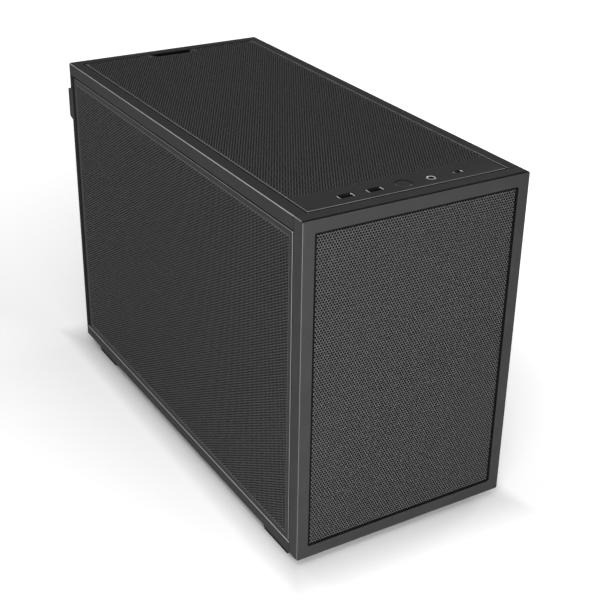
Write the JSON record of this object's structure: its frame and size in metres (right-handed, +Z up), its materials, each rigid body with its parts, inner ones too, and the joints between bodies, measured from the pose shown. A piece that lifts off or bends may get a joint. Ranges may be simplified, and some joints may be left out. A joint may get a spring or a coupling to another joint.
{
  "type": "mini tower pc case",
  "caption": "Narrow upright computer case with perforated front, top and side panels that pull off, ports and a power button in the top, and a board tray and rear fan inside.",
  "frame": {"origin": "middle of the footprint on the ground, half way between the front face and the rear lugs", "axes": "+X to the right seen from the front, +Y to the rear, +Z up"},
  "size_m": [0.2, 0.435, 0.3],
  "materials": {
    "black_steel": "fine matte black powder coat",
    "black_plastic": "fine matte",
    "foot_rubber": "matte",
    "zinc": "bright zinc plate",
    "port_metal": "bright plated",
    "board": "satin"
  },
  "bodies": {
    "chassis": {"base_tray": "black_steel", "top_frame": "black_steel", "front_frame": "black_steel", "rear_panel": "black_steel", "motherboard_tray": "black_steel", "standoffs": "zinc", "slot_cover_1": "black_steel", "slot_cover_2": "black_steel", "slot_cover_3": "black_steel", "slot_cover_4": "black_steel", "slot_bracket": "black_steel", "slot_screws": "zinc", "fan_frame": "black_plastic", "fan_screws": "zinc", "psu_bracket": "black_steel", "ac_inlet": "black_plastic", "ac_inlet_pins": "zinc", "drive_tray_front": "black_steel", "drive_tray_rear": "black_steel", "io_housing": "black_plastic", "io_board": "board", "usb_a_port_1": "port_metal", "usb_a_port_2": "port_metal", "usb_c_port": "port_metal", "audio_jack": "port_metal", "button_guide": "black_plastic", "power_switch": "black_plastic", "foot_front_left": "foot_rubber", "foot_rear_left": "foot_rubber", "foot_front_right": "foot_rubber", "foot_rear_right": "foot_rubber", "foot_screws": "zinc", "left_sockets": "black_plastic", "right_sockets": "black_plastic", "top_sockets": "black_plastic", "front_sockets": "black_plastic"},
    "front_panel": {"front_face": "black_steel", "front_mesh": "black_steel", "front_shell": "black_plastic", "front_tongues": "black_plastic"},
    "left_panel": {"left_panel": "black_steel", "left_tongues": "black_plastic"},
    "right_panel": {"right_panel": "black_steel", "right_tongues": "black_plastic"},
    "top_panel": {"top_panel": "black_steel", "top_tongues": "black_plastic"},
    "power_button": {"power_button": "black_plastic"},
    "fan_rotor": {"fan_rotor": "black_plastic"}
  },
  "joints": [
    {"name": "front_panel_pull", "type": "slide", "parent": "chassis", "child": "front_panel", "axis": [0, -1, 0], "range_m": [0, 0.08]},
    {"name": "left_panel_pull", "type": "slide", "parent": "chassis", "child": "left_panel", "axis": [-1, 0, 0], "range_m": [0, 0.1]},
    {"name": "right_panel_pull", "type": "slide", "parent": "chassis", "child": "right_panel", "axis": [1, 0, 0], "range_m": [0, 0.1]},
    {"name": "top_panel_lift", "type": "slide", "parent": "chassis", "child": "top_panel", "axis": [0, 0, 1], "range_m": [0, 0.06]},
    {"name": "power_button_press", "type": "slide", "parent": "chassis", "child": "power_button", "axis": [0, 0, -1], "range_m": [0, 0.0012], "stiffness_N_per_m": 800, "springref_m": -0.0005},
    {"name": "fan_spin", "type": "hinge", "parent": "chassis", "child": "fan_rotor", "pos_m": [-0.0293, 0.1945, 0.215], "axis": [0, 1, 0], "continuous": true}
  ]
}
